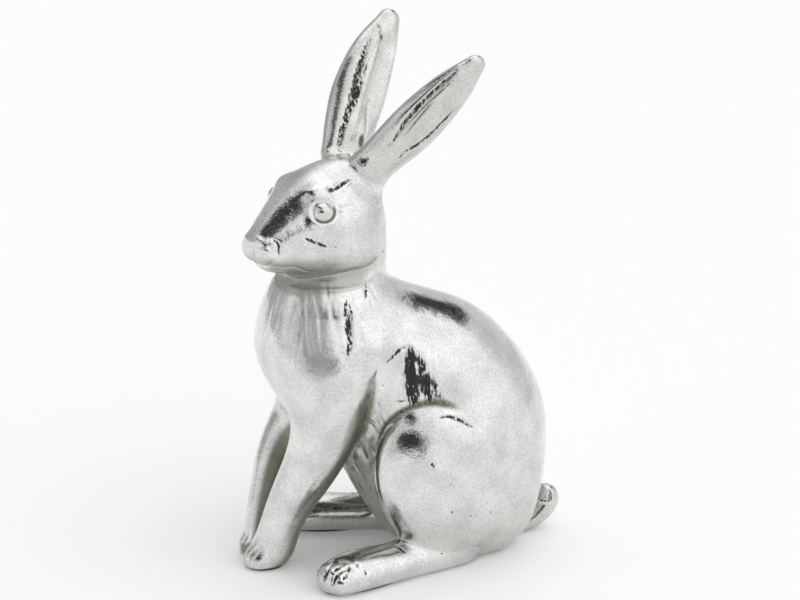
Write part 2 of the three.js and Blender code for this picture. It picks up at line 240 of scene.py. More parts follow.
# Carved lines: how far each is raised or cut, its width, how much brown bole shows and how much black wax
# was rubbed into it, and the points that it runs through. First those of the head's left side, from the brow
# down to the mouth.
HEAD_LINES = [
    (-0.5, 1, 0, 1, [(12.8, -14, 33), (12.4, -9.8, 33), (11.7, -5.4, 34.4), (11.4, -1.2, 35.2)]),
    (-0.3, 1.3, 0, 1, [(12.9, -14.6, 32.9), (12.5, -11, 33)]),
    (-0.3, 0.6, 0.3, 0.4, [(16.4, -13, 28.1), (16.8, -9.4, 26.8), (16.8, -6.5, 27)]),
    (-0.3, 0.6, 0.4, 0.3, [(17, -13.5, 25.2), (17.8, -10.2, 24.8)]),
    (-0.3, 0.8, 0, 0.95, [(13.8, -26.4, 16.6), (14.9, -24.5, 15.7), (16.2, -21.6, 13.8)]),
    (-0.3, 0.8, 0, 0.9, [(15.4, -23.2, 15.2), (16.6, -20.4, 13.6), (17.3, -18.6, 12.7)]),
    (-0.2, 0.6, 0, 0.6, [(17, -19.2, 12.9), (18.4, -15.8, 12.3), (19.2, -13.3, 12.1)]),
    (0.2, 1.5, 0, 0, [(0, -41.2, 14.8), (3.2, -41, 15.4), (5.5, -40.2, 15.9), (8, -37.3, 16)]),
    (-0.2, 0.9, 0.25, 0, [(0.7, -41.3, 13.4), (5.9, -40.5, 14), (7.9, -36.4, 14.6)]),
    (-0.6, 0.8, 0, 1, [(7.5, -36.9, 17.1), (8.3, -35.7, 15.5), (8.9, -35.2, 13.9), (9.3, -35.5, 10.9)]),
    (-0.5, 0.7, 0.3, 0, [(0.5, -40.2, 7.6), (2.6, -38.8, 6), (6.6, -36.4, 5.7), (7.7, -32.4, 5.1),
                         (9.3, -27.9, 4.6), (9.9, -23.6, 2.3), (11.8, -18.3, 0.9)]),
]
PHILTRUM = [(-0.7, 0.8, 0.35, 0, [(1.4, -41.6, 13.2), (1.3, -41.4, 10.6), (1.2, -40.8, 8.3)])]

# Swellings of the head, jowls first: height, reach each way and middle
HEAD_SWELLINGS = [
    (1.2, (8, 13, 7), (15, -4, 6)),
    (1.6, (4, 6, 3.5), (10.5, -18, 32.5)),
    (1.0, (3.8, 3.8, 3.8), (5, -38.4, 9.4)),
]

# Hollow of the ears, in shares of the blade's width, length and thickness
HOLLOW_DEPTH = 2.4
HOLLOW_MIDDLE = {"left": 0.3, "right": 0.32}
HOLLOW_HALF = 0.6
HOLLOW_ENDS = (0.1, 0.35, 0.74, 0.92)
HOLLOW_EDGE = (-0.45, 0.05)
HOLLOW_POWER = 1.3

# Folds of the ears: on the back of the left one and on the open side of the right one
EAR_LINES = {
    "left": [
        (-0.9, 1, 0, 1, [(5.9, 2.4, 47.2), (7.8, 3.6, 39.4), (8.9, 4.8, 28.8), (8.8, 5.5, 20.6),
                         (7.3, 6.3, 13.4), (6.2, 6, 7.1)]),
        (0.6, 1.1, 0, 0, [(4.4, 3.8, 46), (6, 5.2, 38), (7.1, 6.3, 28.8), (6.9, 6.9, 20.6),
                          (5.6, 7.2, 13.4)]),
        (-0.4, 0.8, 0.6, 0, [(6.2, 5.8, 33.5), (6.4, 6.6, 26), (5.1, 7.1, 13.2)]),
        (-0.4, 0.8, 0, 0.7, [(6.8, 0.6, 49), (8.4, 1.1, 41.3), (10, 1.2, 33.9)]),
        (-0.5, 1, 0, 1, [(-1, 7.1, 5.7), (-1.1, 7.8, 11.9), (-3.1, 7.9, 19.9), (-3.8, 7.1, 29.6),
                         (-5.2, 5.4, 39)]),
        (-0.5, 1.6, 0, 1, [(7.7, 3.7, -4.7), (7.5, 3.5, -2.5), (6.7, 4.2, -1.4)]),
    ],
    "right": [
        (-0.8, 1.7, 0, 1, [(-3, -5.1, -4.2), (-4.5, -4.3, 2.1), (-3.4, -2.6, 17.2), (-3.7, -2.3, 24.9),
                           (-3.3, -1.8, 37), (-2.6, -1.6, 44.2)]),
        (0.8, 1.5, 0, 0, [(-0.6, -5, 2), (0, -3.8, 17), (-0.2, -3.4, 25), (0.2, -2.8, 37), (0.6, -2.4, 44)]),
        (-0.3, 0.7, 0.4, 0, [(5.7, -4, 4.3), (4.5, -4.4, 13.9), (3.2, -4.6, 24.4)]),
        (-0.5, 0.8, 0, 0.7, [(-1.4, -2, 51.4), (1.4, -2.4, 47.2), (2.4, -2.6, 43.3)]),
        (-0.4, 1.5, 0.8, 0.5, [(4.4, -4.6, 0.5), (4.2, -4.5, 6.5)]),
    ],
}

# Strokes of the left side of the body: the chest's upper rim, its long streak with two shorter ones, the
# lines of the brushed zone, then the flank's hollow and the fan of strokes in it
BODY_LINES = [
    (0.5, 1.2, 0, 0, [(0, -50.5, 113), (8.7, -46.8, 114), (14.9, -41.3, 113.8), (17.9, -34.2, 114),
                      (18.8, -27.2, 114.5), (16.6, -20.2, 115.6), (13.6, -14.5, 119.8)]),
    (-0.5, 1.6, 0, 1, [(20.3, -26.9, 110.9), (24.2, -28, 105.7), (28.4, -29.3, 101.5), (32.4, -29.7, 97.2),
                       (35.1, -32.1, 91.1)]),
    (-0.3, 0.9, 0, 1, [(20, -28.4, 110.9), (25, -29.9, 105.3)]),
    (-0.3, 0.7, 0, 1, [(17, -19.5, 115.6), (20.2, -20.5, 110.2)]),
    (-0.25, 0.8, 0.35, 0, [(16.3, -42.5, 110.3), (22.7, -45.2, 101.3), (30.6, -45.9, 91.8)]),
    (-0.25, 0.8, 0.35, 0, [(17.4, -40.4, 110.5), (24.7, -42.5, 101.6), (32.2, -43.1, 92)]),
    (-0.25, 0.8, 0.3, 0, [(19.2, -37.8, 109.9), (25.9, -39.7, 101.7), (32.1, -40.7, 95)]),
    (-1.6, 5, 0, 0, [(31.3, -11.5, 89), (31, -10.5, 80), (30.5, -10, 71)]),
    (-0.4, 3, 0, 1.5, [(30.3, -4.8, 94), (31.8, -4.6, 81), (31.4, -4.4, 69)]),
    (-0.4, 3, 0, 1.2, [(30.6, -2.4, 91), (32.1, 0.4, 79), (32.6, 2.6, 70)]),
    (-0.3, 2.6, 0, 0.8, [(31.5, 2, 83), (32.6, 4, 76), (32.8, 7, 70)]),
    (-0.5, 0.9, 0, 1, [(30.1, -5.8, 93.3), (31.5, -10.2, 91.7), (31.1, -14.1, 87.1)]),
    (-0.5, 0.9, 0, 1, [(30.3, -5.8, 92.6), (31.8, -6.3, 81.7), (31.3, -6.1, 70.9)]),
    (-0.5, 0.9, 0, 1, [(29.5, -4, 93.7), (31.8, -4.7, 81.5), (31.5, -4.6, 70.8)]),
    (-0.5, 0.9, 0, 1, [(30.2, -2.6, 90.6), (31.9, -1.5, 80.4), (32.3, -1.6, 71.6)]),
    (-0.5, 0.8, 0, 1, [(30.7, -1.1, 87.3), (32.3, 0, 79.6), (32.7, 1.5, 72.2)]),
    (-0.4, 0.8, 0, 0.7, [(32, 1.7, 81.7), (32.7, 3.1, 76.9), (32.6, 4, 72.7)]),
]

# Strokes and pits of the left haunch, in its own frame
HAUNCH_LINES = [
    (-0.6, 0.9, 0, 1, [(8, 3.1, 26.3), (7.6, 7.3, 25.6), (8, 11.5, 22.7), (9.3, 15.2, 18.5)]),
    (-0.5, 1, 0, 1, [(13.1, -5, 10.9), (13, -3.6, 10.5)]),
    (-0.4, 0.8, 0, 1, [(13.1, -1.2, -11), (13, -0.2, -11.5)]),
    (-0.4, 0.8, 0, 0.7, [(12.3, 6, -15.5), (12, 7, -16)]),
    (-0.4, 0.8, 0, 0.7, [(10.2, 14.6, -17.5), (9.8, 15.6, -18)]),
]

# Strokes between the toes and across the top of the left hind foot, in its own frame, and the speckled band
# along its inner side
FOOT_LINES = [
    (-0.6, 0.7, 0, 1, [(5.5, -48.9, 11.6), (7.3, -50.1, 10)]),
    (-0.9, 0.8, 0, 1, [(5.7, -50, 11.1), (5.9, -54.8, 8.9), (5.8, -56.5, 5.1)]),
    (-0.6, 0.7, 0, 1, [(3.5, -51.3, 10.6), (3.5, -54.1, 9.6)]),
    (-0.7, 0.7, 0, 1, [(7.4, -51.1, 9.4), (8.1, -53.4, 7.7)]),
    (-0.9, 0.8, 0, 1, [(-0.7, -52.3, 11.1), (1.3, -56.3, 9.4), (1.3, -57.6, 5)]),
    (-0.7, 0.8, 0, 1, [(-5.3, -50.2, 10.7), (-5, -53.2, 9.8), (-4.6, -55.6, 5.6)]),
    (-0.4, 0.6, 0, 0.7, [(8.6, -43.6, 10.6), (10.2, -43.7, 7.8)]),
    (-0.3, 0.6, 0.5, 0, [(5.7, -45.4, 12.5), (7.9, -45.9, 10.9)]),
    (-0.5, 0.8, 0, 1, [(0.4, -25.1, 13.6), (4, -23.7, 12.9), (6, -23.2, 11.7)]),
    (-0.1, 1.7, 0.3, 0.62, [(-8.2, -41, 10.5), (-7.9, -31, 10.4), (-7.6, -20, 10.4)]),
]

# Strokes between the toes of the left paw
PAW_LINES = [
    (-0.5, 0.7, 0.4, 0.45, [(5.2, -60.5, 9.4), (5, -63.6, 6.6), (5, -65, 4)]),
    (-0.5, 0.7, 0.4, 0.65, [(8, -61, 9.8), (7.9, -64.4, 6.6), (7.8, -65.8, 4)]),
    (-0.5, 0.7, 0.4, 0.45, [(10.6, -60, 9), (10.8, -63, 6.4), (10.8, -64.4, 4)]),
]

# Notch of the tail's curled tip
TAIL_LINES = [
    (-0.6, 0.8, 0.3, 0.8, [(2, 56.6, 13.4), (4, 58.4, 12.8), (5.2, 61, 13), (4.9, 61.6, 14.6),
                           (3.6, 61.8, 16.6)]),
]

# Strokes of the modelling tool, as in fur: how many to a side, their length, width and depth, the way
# they run, and the box of the hare's left side that they lie in. Each leans and grows or shrinks a little.
FUR = [
    (60, 14, 0.8, 0.12, (0, 0.1, -1), ((4, -60, 88), (32, -14, 112))),
    (70, 15, 0.9, 0.45, (0, 0.4, -1), ((2, -46, 22), (34, -4, 66))),
    (34, 11, 1.0, 0.3, (0, -0.15, -1), ((26, -16, 66), (36, 8, 92))),
    (34, 9, 1.0, 0.34, (-0.2, -0.5, -1), ((8, -34, 24), (36, -6, 64))),
]
FUR_SEED = 7
FUR_REACH = 5
FUR_LEAN = 0.12
FUR_SIZES = (0.5, 1.3)
FUR_GRID = (160, 160)

# The studio: soft boxes and dim corners, each by azimuth from the hare's front, elevation, the angles from
# its middle at which it is full and gone, and its level, then the dark gaps between the boxes, of one level
SOFT_BOXES = [
    (135, 42, 10, 40, 1.25),
    (255, 60, 20, 50, 1.4),
    (210, 8, 20, 45, 0.75),
    (295, 8, 25, 65, 0.5),
    (35, 20, 15, 45, 0.7),
]
DARK_GAPS = [
    (338, 47, 5, 9), (352, 53, 7, 10), (8, 57, 7, 10), (22, 57, 8, 11), (36, 52, 6, 9), (48, 50, 5, 8),
    (57, 46, 4, 7), (41, 20, 7, 11), (53, 17, 9, 13), (66, 16, 10, 14), (78, 12, 6, 10), (227, 31, 5, 7),
    (220, 36, 6, 8), (212, 40, 6, 8), (204, 42, 4, 6), (196, 43, 3, 5),
]
GAP_LEVEL = 0.03
ROOM_LEVEL = 1.0
FLOOR_GLOW = 0.12
FLOOR_SIZE = 8

# The leaf's patterns: size in millimetres, detail and roughness. Streaks are drawn out upwards, and the waves
# and the grain stand out by a height in millimetres.
LEAF_PATTERNS = {"grain": (0.8, 3, 0.6), "waves": (6, 2, 0.5), "clouds": (10, 4, 0.5), "pits": (1.6, 2, 0.5),
                 "streaks": (0.9, 3, 0.5)}
STREAK_STRETCH = (1, 1, 0.3)
LEAF_RELIEF = {"waves": 0.2, "grain": 0.06}

# How strong the clouds are, how flakes follow the grain and wax the streaks, as a factor and a start, and
# where each tone of the leaf begins and is full
CLOUDINESS = 0.8
FLAKES = (1.4, 0.3)
STREAKS = (2.6, -0.5)
LEAF_EDGES = {"mottle": (0.3, 0.7), "bole": (0.15, 0.65), "wax": (0.3, 0.7), "pits": (0.83, 0.89)}

# Metal and gloss of clean and covered leaf, and what the patina with its painted shade and satin add
METALLIC = {"leaf": 1.0, "covered": 0.2, "patina_and_shade": -0.2}
ROUGHNESS = {"leaf": 0.12, "covered": 0.6, "patina_and_shade": 0.25, "satin": 0.3}

# The steel's grain and gloss, and the felt's fibres
STEEL_GRAIN = 0.4
STEEL_ROUGHNESS = (0.25, 0.45)
FIBRE_SIZE = 0.5
FIBRE_RELIEF = 0.2

# The patina colour also stands for painted shade, under the belly, chin and throat and behind the forelegs
COLOURS = {"leaf": ("#c6cac7", "#eaeae8"), "patina_and_shade": "#8e8f80", "bole": "#77745c", "wax": "#2a2723",
           "steel": "#b9bcbe", "felt": ("#4a443d", "#6c645a"), "floor": "#fafafa", "room": "#ffffff"}

# Settings that several nodes share
TIMES_PLUS = {"operation": "MULTIPLY_ADD"}
TIMES = {"operation": "MULTIPLY"}
PLUS = {"operation": "ADD"}
LARGER = {"operation": "MAXIMUM"}
SOFT_STEP = {"interpolation_type": "SMOOTHSTEP"}
OF_COLOURS = {"data_type": "RGBA"}

# The camera: where it looks, the way and the distance to it, and the photograph's width there
CAMERA_TARGET = 102.2
CAMERA_AZIMUTH = 73
CAMERA_ELEVATION = 18
CAMERA_DISTANCE = 1400
FIELD_WIDTH = 313.7
SENSOR_WIDTH = 36

SIDES = (("left", 1), ("right", -1))


class Spline:
    """A natural cubic curve through values at evenly spaced shares from 0 to 1."""

    def __init__(self, values):
        self.values = np.asarray(values, float)
        count = len(self.values)
        self.last = count - 1
        bend = 4 * np.eye(count) + np.eye(count, k=1) + np.eye(count, k=-1)
        bend[0] = np.eye(count)[0]
        bend[-1] = np.eye(count)[-1]
        pull = np.zeros_like(self.values)
        pull[1:-1] = 6 * (self.values[:-2] - 2 * self.values[1:-1] + self.values[2:])
        self.second = np.linalg.solve(bend, pull)

    def at(self, share):
        """The curve's values and their slopes by share."""
        place = np.asarray(share, float) * self.last
        low = np.clip(np.floor(place), 0, self.last - 1).astype(int)
        b = (place - low)[..., None]
        a = 1 - b
        v0, v1 = self.values[low], self.values[low + 1]
        m0, m1 = self.second[low], self.second[low + 1]
        value = a * v0 + b * v1 + ((a**3 - a) * m0 + (b**3 - b) * m1) / 6
        slope = v1 - v0 + ((1 - 3 * a**2) * m0 + (3 * b**2 - 1) * m1) / 6
        return value, slope * self.last


class Placed:
    """A form that is modelled about its own origin and then turned and moved to its place."""

    def __init__(self, turn=None, move=(0, 0, 0)):
        self.turn = np.eye(3) if turn is None else np.asarray(turn, float)
        self.move = np.asarray(move, float)

    def inward(self, points):
        """Points of the hare as points of the form."""
        return (points - self.move) @ self.turn

    def outward(self, points):
        """Points of the form as points of the hare."""
        return points @ self.turn.T + self.move


class Loft(Placed):
    """Oval sections strung between a front and a back outline and closed by a dome at each end.

    A section's points are its middle + width (1 + fullness sin(a)) cos(a) across + half the line from
    front to back times sin(a). A dome shrinks the end section by cos(b) and carries it out by its height
    times sin(b).
    """

    def __init__(self, rows, domes, turn=None, move=(0, 0, 0), fullness=0):
        super().__init__(turn, move)
        rows = np.asarray(rows, float)
        if rows.shape[1] == 5:
            rows = np.insert(rows, 0, 0, axis=1)
        self.spline = Spline(np.column_stack([rows, np.broadcast_to(fullness, len(rows))]))
        self.domes = domes

    def sections(self, share):
        """Middle across, middle in the side view, half depth, half width, fullness and directions."""
        value, slope = self.spline.at(share)
        across, front, back = value[..., 0], value[..., 1:3], value[..., 3:5]
        width, full = value[..., 5], value[..., 6]
        line = back - front
        half = np.linalg.norm(line, axis=-1) / 2
        face = line / (2 * half[..., None])
        travel = slope[..., 1:3] + slope[..., 3:5]
        along = np.stack([-face[..., 1], face[..., 0]], -1)
        along *= np.sign((along * travel).sum(-1, keepdims=True))
        return across, (front + back) / 2, half, width, full, face, along

    def grid(self, rows, sides):
        """Rings of points from pole to pole, as an array of rows by sides by 3, evened out along the rows."""
        middles = self.sections(np.linspace(0, 1, LENGTH_SAMPLES))[1]
        length = np.linalg.norm(np.diff(middles, axis=0), axis=1).sum()
        first, last = np.array(self.domes) * DOME_SPAN[0] + DOME_SPAN[1]
        spans = np.array([first, length, last])
        counts = np.maximum(np.round(rows * spans / spans.sum()).astype(int), FEWEST_ROWS)
        start = np.linspace(np.pi / 2, 0, counts[0], endpoint=False)[1:]
        end = np.linspace(0, np.pi / 2, counts[2] + 1)[1:-1]
        share = np.concatenate([np.zeros(len(start)), np.linspace(0, 1, counts[1]), np.ones(len(end))])
        tilt = np.concatenate([start, np.zeros(counts[1]), end])
        height = np.concatenate([np.full(len(start), -self.domes[0]), np.zeros(counts[1]),
                                 np.full(len(end), self.domes[1])])
        across, middle, half, width, full, face, along = self.sections(share)
        around = np.arange(sides) * 2 * np.pi / sides
        centre = middle + along * (height * np.sin(tilt))[:, None]
        wide = (width * np.cos(tilt))[:, None] * (1 + full[:, None] * np.sin(around)) * np.cos(around)
        deep = (half * np.cos(tilt))[:, None] * np.sin(around)
        x = across[:, None] + wide
        yz = centre[:, None, :] + deep[..., None] * face[:, None, :]
        rings = self.outward(np.concatenate([x[..., None], yz], -1))
        for _ in range(ROUNDING):
            rings[1:-1] = rings[1:-1] / 2 + (rings[:-2] + rings[2:]) / 4
        return rings

    def distance(self, points, share=None):
        """About how far each point lies outside the form, in millimetres, and the share of its section.

        The section through the point is found by Newton's rule on the turn of its line, from a share that
        is near it. The oval's own measure there, less one, over its slope is the distance.
        """
        local = self.inward(points)
        x, yz = local[:, 0], local[:, 1:]
        rounds = NEXT_ROUNDS
        if share is None:
            tries = np.linspace(0, 1, SECTION_TRIES)
            _, middle, half, _, _, face, along = self.sections(tries)
            offset = yz[:, None, :] - middle
            beside = (offset * along).sum(-1)
            beyond = np.maximum(np.abs((offset * face).sum(-1)) - SECTION_REACH * half, 0)
            share = tries[np.argmin(beside**2 + beyond**2, axis=1)]
            rounds = FIRST_ROUNDS
        for _ in range(rounds):
            value, slope = self.spline.at(share)
            line, line_slope = value[:, 3:5] - value[:, 1:3], slope[:, 3:5] - slope[:, 1:3]
            reach = yz - value[:, 1:3]
            turn = line[:, 0] * reach[:, 1] - line[:, 1] * reach[:, 0]
            change = line_slope[:, 0] * reach[:, 1] - line_slope[:, 1] * reach[:, 0]
            change -= line[:, 0] * slope[:, 2] - line[:, 1] * slope[:, 1]
            share = np.clip(share - np.clip(turn / change, -SHARE_STEP, SHARE_STEP), 0, 1)
        across, middle, half, width, full, face, along = self.sections(share)
        offset = yz - middle
        past = (offset * along).sum(-1)
        deep = (offset * face).sum(-1) / half
        width = width * (1 + full * np.clip(deep, -1, 1))
        dome = np.where(share > 0.5, self.domes[1], self.domes[0])
        before = np.where(share < END_SHARE, np.maximum(-past, 0), 0)
        past = np.where(share > 1 - END_SHARE, np.maximum(past, 0), before)
        parts = np.stack([(x - across) / width, deep, past / dome])
        measure = np.linalg.norm(parts, axis=0)
        slope = np.linalg.norm(parts / np.stack([width, half, dome]), axis=0) / np.maximum(measure, TINY)
        return (measure - 1) / np.maximum(slope, TINY), share


class Egg(Placed):
    """An ellipsoid with its poles at its two sides."""

    def __init__(self, half, turn=None, move=(0, 0, 0)):
        super().__init__(turn, move)
        self.half = np.asarray(half, float)

    def grid(self, rows, sides):
        """Rings about the X axis: radius sin(b), and place along the axis cos(b)."""
        tilt = np.linspace(0, np.pi, rows + 2)[1:-1, None]
        around = np.arange(sides) * 2 * np.pi / sides
        round_y = np.sin(tilt) * np.cos(around)
        round_z = np.sin(tilt) * np.sin(around)
        return self.outward(np.stack([np.cos(tilt) + 0 * around, round_y, round_z], -1) * self.half)

    def distance(self, points, share=None):
        """The ellipsoid's own measure less one, over its slope."""
        parts = self.inward(points) / self.half
        measure = np.linalg.norm(parts, axis=1)
        slope = np.linalg.norm(parts / self.half, axis=1) / np.maximum(measure, TINY)
        return (measure - 1) / np.maximum(slope, TINY), share


def turned(axis, degrees):
    """A turn about an axis as a 3 by 3 array."""
    return np.array(Matrix.Rotation(np.radians(degrees), 3, axis))


def eased(value, start, end):
    """0 before start, 1 after end, and 3 v squared - 2 v cubed between them."""
    share = np.clip((value - start) / (end - start), 0, 1)
    return share**2 * (3 - 2 * share)


def between(low, high, share):
    """Low at a share of 0 and high at a share of 1."""
    return low + (high - low) * share


def normals_of(rings):
    """Outward unit normals of a grid, from the cross product of its two directions."""
    around = np.roll(rings, -1, 1) - np.roll(rings, 1, 1)
    along = np.gradient(rings, axis=0)
    normals = np.cross(along, around)
    normals /= np.maximum(np.linalg.norm(normals, axis=-1, keepdims=True), NO_LENGTH)
    out = rings - rings.mean(1, keepdims=True)
    return normals * np.sign((normals * out).sum())


def mirrored(points, normals):
    """Points and normals of both sides as those of the left side."""
    across = np.where(points[:, :1] < 0, -1, 1) * (1, 0, 0) + (0, 1, 1)
    return points * across, normals * across


def swell(gap, radius):
    """How far a surface rises into a fillet, by the neighbour's distance less its own.

    On its own side the rise is the cube of (radius - gap) over six radii squared, so that the fillet has no
    edge. Past the joint it sinks back under the neighbour's surface, with the same slope at the joint.
    """
    own = (radius - gap) ** 3 / (6 * radius**2)
    under = radius / 6 - gap / 2 - gap**2 / (1.5 * radius)
    return np.where(np.abs(gap) < radius, np.where(gap > 0, own, under), 0)


def fused(form, rings, neighbours):
    """A form's grid pushed out along its normals to the fillets that it shares with its neighbours.

    The push is found by the secant rule where the form's own distance equals the swell for the neighbour's
    distance less its own, which is one surface for both of them. Past the seam the grid sinks into the
    neighbour. Also returns how deep in a tight crease each point is, from 0 to 1.
    """
    normals = normals_of(rings)
    base, out = rings.reshape(-1, 3), normals.reshape(-1, 3)
    push = np.zeros(len(base))
    crease = np.zeros(len(base))
    for other, radius in neighbours:
        solid = other.grid(*BOX_GRID).reshape(-1, 3)
        close = (base > solid.min(0) - FAR) & (base < solid.max(0) + FAR)
        near = np.flatnonzero(close.all(1))
        gap, other_share = other.distance(base[near])
        reach = radius(base[near]) if callable(radius) else np.full(len(near), float(radius))
        kept = np.abs(gap) < reach
        near, gap, reach = near[kept], gap[kept], reach[kept]
        other_share = None if other_share is None else other_share[kept]
        own_share = None
        before, before_miss = np.zeros(len(near)), swell(gap, reach)
        rise = before_miss
        for _ in range(SECANT_ROUNDS):
            points = base[near] + out[near] * rise[:, None]
            own, own_share = form.distance(points, own_share)
            away, other_share = other.distance(points, other_share)
            away = away - own
            miss = swell(away, reach) - own
            change = miss - before_miss
            change = np.where(np.abs(change) < TINY, -TINY, change)
            step = np.clip(-miss * (rise - before) / change, -LONGEST_STEP, LONGEST_STEP)
            before, before_miss, rise = rise, miss, rise + step
        tight = np.clip(1 - reach / CREASE_RADIUS, 0, 1)
        crease[near] = np.maximum(crease[near], tight * np.exp(-(away / CREASE_WIDTH) ** 2))
        push[near] = np.maximum(push[near], rise * eased(gap, *OVERLAP))
    shape = rings.shape[:2]
    return rings + normals * push.reshape(*shape, 1), crease.reshape(shape)


def stroke(points, normals, path, width):
    """1 along a smooth path, falling off as a bell curve over its width, narrower towards its ends.

    The distance to the path is measured along the surface, so the path may run a little above or below it.
    """
    share = np.linspace(0, 1, PATH_SAMPLES)
    samples = Spline(path).at(share)[0]
    reach = BELL_REACH * width + LINE_REACH
    near = np.flatnonzero(((points > samples.min(0) - reach) & (points < samples.max(0) + reach)).all(1))
    offset = points[near][:, None] - samples
    out = (offset * normals[near][:, None]).sum(-1)
    apart = np.sqrt(np.maximum((offset**2).sum(-1) - out**2, 0))
    apart += OUT_OF_REACH * (np.abs(out) > LINE_REACH)
    nearest = apart.argmin(1)
    full = width * between(LINE_TAPER, 1, np.sqrt(np.sin(np.pi * share[nearest])))
    amount = np.zeros(len(points))
    amount[near] = np.exp(-(apart.min(1) / full) ** 2) * full / width
    return amount


def lines_carved(points, normals, lines):
    """Heights of carved lines, and the bole and wax that show in them."""
    height, bole, wax = np.zeros((3, len(points)))
    for depth, width, line_bole, line_wax, path in lines:
        amount = stroke(points, normals, path, width)
        height += depth * amount
        bole = np.maximum(bole, line_bole * amount)
        wax = np.maximum(wax, line_wax * amount)
    return height, bole, wax


def eye_carved(points):
    """The eyeball, a dome over an oval, with bell-shaped rings about it: a groove and the lids."""
    look = np.array(EYE_LOOK) / np.linalg.norm(EYE_LOOK)
    front, rear = np.array(EYE_CORNERS)
    long = rear - front
    long -= look * (long @ look)
    long /= np.linalg.norm(long)
    tall = np.cross(long, look)
    tall *= np.sign(tall[2])
    offset = points - EYE
    u, v = offset @ long, offset @ tall
    shown = 1 - eased(np.abs(offset @ look), *EYE_REACH)
    oval = np.hypot(u / EYE_LONG, v / EYE_TALL)
    low = eased(EYE_SLANT * u - v, *EYE_LOW)
    groove, lid = (np.exp(-((oval - place) / width) ** 2) for place, width, _ in (EYE_GROOVE, EYE_LID))
    height = EYE_BULGE * np.maximum(1 - oval**2, 0)
    height += EYE_LID[2] * lid + EYE_GROOVE[2] * groove
    bole = groove * (EYE_BOLE[0] + EYE_BOLE[1] * low)
    return height * shown, bole * shown


def head_carved(points, normals):
    """Eyes, brows, nose, mouth and cheeks, alike on both sides, and the groove of the upper lip."""
    half, half_normals = mirrored(points, normals)
    height, bole, wax = lines_carved(half, half_normals, HEAD_LINES)
    lip_height, lip_bole, _ = lines_carved(points, normals, PHILTRUM)
    eye_height, eye_bole = eye_carved(half)
    for rise, reach, middle in HEAD_SWELLINGS:
        height += rise * np.exp(-(((half - middle) / reach) ** 2).sum(1))
    return height + lip_height + eye_height, np.maximum(np.maximum(bole, lip_bole), eye_bole), wax


def ear_hollowed(points, form, side):
    """How far the open side of an ear is pressed in, from its place across and along the blade."""
    share = points[:, 2] / (EAR_HEIGHT * EAR_STRETCH[side])
    row = np.clip((share * EAR_HEIGHT + EAR_SUNK) / (EAR_HEIGHT + EAR_SUNK), 0, 1)
    across, middle, half, width, *_ = form.sections(row)
    place = (points[:, 0] - across) / width - HOLLOW_MIDDLE[side]
    open_side = 1 - eased((points[:, 1] - middle[:, 0]) / half, *HOLLOW_EDGE)
    press = np.clip(1 - (place / HOLLOW_HALF) ** 2, 0, 1) ** HOLLOW_POWER
    ends = eased(share, *HOLLOW_ENDS[:2]) * (1 - eased(share, *HOLLOW_ENDS[2:]))
    return HOLLOW_DEPTH * press * ends * open_side


class Fur:
    """Short tool strokes, alike in kind on both sides, that cross from casting to casting."""

    def __init__(self, skin):
        normals = normals_of(skin).reshape(-1, 3)
        places = skin.reshape(-1, 3)
        draws = np.random.default_rng(FUR_SEED)
        self.marks = []
        for count, length, width, depth, way, (low, high) in FUR:
            for side in (1, -1):
                inside = ((places * (side, 1, 1) > low) & (places * (side, 1, 1) < high)).all(1)
                chosen = draws.choice(np.flatnonzero(inside), count)
                lean = draws.normal(0, FUR_LEAN, (count, 3))
                sizes = draws.uniform(*FUR_SIZES, (count, 2))
                for k, lean_k, (long, deep) in zip(chosen, lean, sizes):
                    along = np.array(way) * (side, 1, 1) + lean_k
                    along -= normals[k] * (along @ normals[k])
                    along /= np.linalg.norm(along)
                    frame_k = np.stack([along, np.cross(normals[k], along), normals[k]], 1)
                    self.marks.append((places[k], frame_k, length * long, width, depth * deep))

    def carved(self, points):
        """Heights of the strokes: bell-shaped across, flat along and soft at the ends."""
        height = np.zeros(len(points))
        for place, directions, length, width, depth in self.marks:
            near = np.flatnonzero((np.abs(points - place) < length).all(1))
            if len(near):
                along, across, out = ((points[near] - place) @ directions).T
                shape = np.exp(-(across / width) ** 2 - (2 * along / length) ** 4)
                height[near] -= depth * shape * (np.abs(out) < FUR_REACH)
        return height


def flat_soles(rings):
    """Points below the pads' glue are lifted to it, which gives a flat sole with a crisp edge."""
    flat = rings.copy()
    flat[..., 2] = np.maximum(flat[..., 2], SOLE_HEIGHT)
    return flat


def add_mesh(name, rings, material, finish):
    """A closed mesh of the rings, with a pole at each end and the amounts of its finish as attributes."""
    rows, sides = rings.shape[:2]
    poles = rings[[0, -1]].mean(1)
    points = np.concatenate([rings.reshape(-1, 3), poles]) * MM
    here = np.arange(rows * sides).reshape(rows, sides)
    beside = np.roll(here, -1, 1)
    quads = np.stack([here[:-1], beside[:-1], beside[1:], here[1:]], -1).reshape(-1, 4)
    first = np.stack([beside[0], here[0], np.full(sides, rows * sides)], -1)
    last = np.stack([here[-1], beside[-1], np.full(sides, rows * sides + 1)], -1)
    corner = points[quads]
    facing = np.cross(corner[:, 1] - corner[:, 0], corner[:, 3] - corner[:, 0])
    if (facing * (corner.mean(1) - points.mean(0))).sum() < 0:
        quads, first, last = quads[:, ::-1], first[:, ::-1], last[:, ::-1]
    mesh = bpy.data.meshes.new(name)
    mesh.from_pydata(points.tolist(), [], quads.tolist() + first.tolist() + last.tolist())
    for key, amount in finish.items():
        values = np.concatenate([amount, amount[:1], amount[-1:]]).astype(np.float32)
        mesh.attributes.new(key, "FLOAT", "POINT").data.foreach_set("value", values)
    mesh.polygons.foreach_set("use_smooth", np.ones(len(mesh.polygons), bool))
    mesh.update()
    mesh.materials.append(material)
    piece = bpy.data.objects.new(name, mesh)
    bpy.context.collection.objects.link(piece)
    return piece


def srgb(code):
    """A hex colour as linear red, green and blue with full alpha."""
    parts = np.array([int(code[i:i + 2], 16) / 255 for i in (1, 3, 5)])
    linear = np.where(parts <= 0.04045, parts / 12.92, ((parts + 0.055) / 1.055) ** 2.4)
    return (*linear, 1.0)


